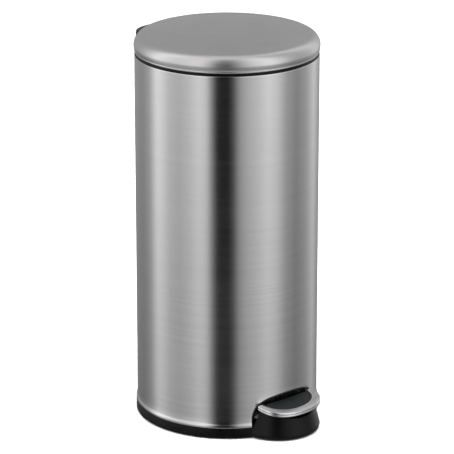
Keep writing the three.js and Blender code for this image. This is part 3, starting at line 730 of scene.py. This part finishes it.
# azimuth from the camera's side of the bin, -0.5 to 0.5 turns, shifted to 0..1; positive to the camera's right
neg_y = wmath("MULTIPLY", sep.outputs["Y"], -1.0)
turn = wmath("MULTIPLY_ADD", wmath("ARCTAN2", sep.outputs["X"], neg_y), 1 / (2 * math.pi), 0.5)
ramp = wt.nodes.new("ShaderNodeValToRGB")
CARDS = [(-180, 0.35), (-155, 0.36), (-128, 0.38), (-112, 0.56), (-97, 1.24), (-88, 1.12), (-76, 0.82), (-62, 0.72), (-48, 0.86), (-35, 1.10), (-26, 0.98), (-17, 0.22), (-12, 0.008), (2, 0.004),
         (8, 0.10), (16, 0.50), (26, 0.72), (38, 0.88), (52, 1.12), (64, 0.98), (79, 0.54), (96, 0.37), (116, 0.52), (137, 0.86), (152, 0.50), (165, 0.36), (180, 0.35)]
el = ramp.color_ramp.elements
while len(el) > 1:
    el.remove(el[0])
for i, (deg, v) in enumerate(CARDS):
    p = (deg + 180) / 360
    e = el[0] if i == 0 else el.new(p)
    e.position = p
    e.color = (v, v, v, 1)
wt.links.new(turn, ramp.inputs["Fac"])
cards = wmath("MULTIPLY", ramp.outputs["Color"], 1.0)
# brighter towards the horizon, dimmer below it
z = sep.outputs["Z"]
low = wt.nodes.new("ShaderNodeMapRange")
low.inputs["From Min"].default_value, low.inputs["From Max"].default_value = -0.46, -0.20
low.inputs["To Min"].default_value, low.inputs["To Max"].default_value = 0.20, 1.22
wt.links.new(z, low.inputs["Value"])
up = wt.nodes.new("ShaderNodeMapRange")
up.inputs["From Min"].default_value, up.inputs["From Max"].default_value = 0.05, 0.45
up.inputs["To Min"].default_value, up.inputs["To Max"].default_value = 0.0, 0.02
wt.links.new(z, up.inputs["Value"])
side = wmath("MULTIPLY", cards, wmath("ADD", low.outputs["Result"], up.outputs["Result"]))
# dark narrow strip straight behind the bin, below the horizon: the thin dark line down each side of the body
far = wt.nodes.new("ShaderNodeMapRange")
far.inputs["From Min"].default_value, far.inputs["From Max"].default_value = 0.462, 0.482
wt.links.new(wmath("ABSOLUTE", wmath("SUBTRACT", turn, 0.5)), far.inputs["Value"])
below = wt.nodes.new("ShaderNodeMapRange")
below.inputs["From Min"].default_value, below.inputs["From Max"].default_value = -0.02, -0.12
wt.links.new(z, below.inputs["Value"])
strip = wmath("MULTIPLY", far.outputs["Result"], below.outputs["Result"])
side = wmath("MULTIPLY", side, wmath("MULTIPLY_ADD", strip, -0.93, 1.0))
# pale floor seen from below the horizon
ground = wt.nodes.new("ShaderNodeMapRange")
ground.inputs["From Min"].default_value, ground.inputs["From Max"].default_value = -0.52, -0.66
ground.inputs["To Min"].default_value, ground.inputs["To Max"].default_value = 0.0, 0.42
wt.links.new(z, ground.inputs["Value"])
side = wmath("ADD", side, ground.outputs["Result"])
# overhead softbox
topm = wt.nodes.new("ShaderNodeMapRange")
topm.interpolation_type = "SMOOTHSTEP"
topm.inputs["From Min"].default_value, topm.inputs["From Max"].default_value = 0.88, 0.995
wt.links.new(z, topm.inputs["Value"])
mixv = wt.nodes.new("ShaderNodeMix")
mixv.data_type = "FLOAT"
wt.links.new(topm.outputs["Result"], mixv.inputs[0])
wt.links.new(side, mixv.inputs[2])
mixv.inputs[3].default_value = 0.85
bg_studio = wt.nodes.new("ShaderNodeBackground")
wt.links.new(mixv.outputs[0], bg_studio.inputs["Color"])
bg_studio.inputs["Strength"].default_value = 1.0
bg_white = wt.nodes.new("ShaderNodeBackground")
bg_white.inputs["Color"].default_value = (1, 1, 1, 1)
lp = wt.nodes.new("ShaderNodeLightPath")
mixs = wt.nodes.new("ShaderNodeMixShader")
wt.links.new(lp.outputs["Is Camera Ray"], mixs.inputs["Fac"])
wt.links.new(bg_studio.outputs["Background"], mixs.inputs[1])
wt.links.new(bg_white.outputs["Background"], mixs.inputs[2])
wt.links.new(mixs.outputs["Shader"], out.inputs["Surface"])


def area(name, loc, target, size, power, glossy=True):
    d = bpy.data.lights.new(name, "AREA")
    d.shape, d.size, d.size_y, d.energy = "RECTANGLE", size[0], size[1], power
    o = bpy.data.objects.new(name, d)
    bpy.context.scene.collection.objects.link(o)
    o.location = loc
    o.rotation_mode = "QUATERNION"
    o.rotation_quaternion = (Vector(target) - Vector(loc)).to_track_quat("-Z", "Y")
    o.visible_camera = False
    o.visible_glossy = glossy
    return o


def polar(deg_from_camera, dist, height):
    a = -AZ + math.radians(deg_from_camera)
    return (dist * math.sin(a), -dist * math.cos(a), height)


area("overhead", (0, 0, 3.4), (0, 0, 0), (3.4, 3.4), 175, False)
area("fill_left", polar(-75, 3.0, 1.5), (0, 0, 0.3), (1.6, 2.2), 40, False)
area("fill_right", polar(80, 3.0, 1.3), (0, 0, 0.3), (1.4, 2.0), 40, False)

cam_data = bpy.data.cameras.new("camera")
cam = bpy.data.objects.new("camera", cam_data)
bpy.context.scene.collection.objects.link(cam)
cam_data.sensor_width = 36
cam_data.lens = 227.9
cam_data.clip_start, cam_data.clip_end = 0.1, 100
cam.location = (-4.395 * math.sin(AZ), -4.395 * math.cos(AZ), 1.759)
cam.rotation_euler = (math.radians(71.73), 0, -AZ)
bpy.context.scene.camera = cam

bpy.context.scene.view_settings.view_transform = "Standard"
bpy.context.scene.view_settings.look = "None"
bpy.context.scene.view_settings.exposure = 0.0
bpy.context.scene.view_settings.gamma = 1.0
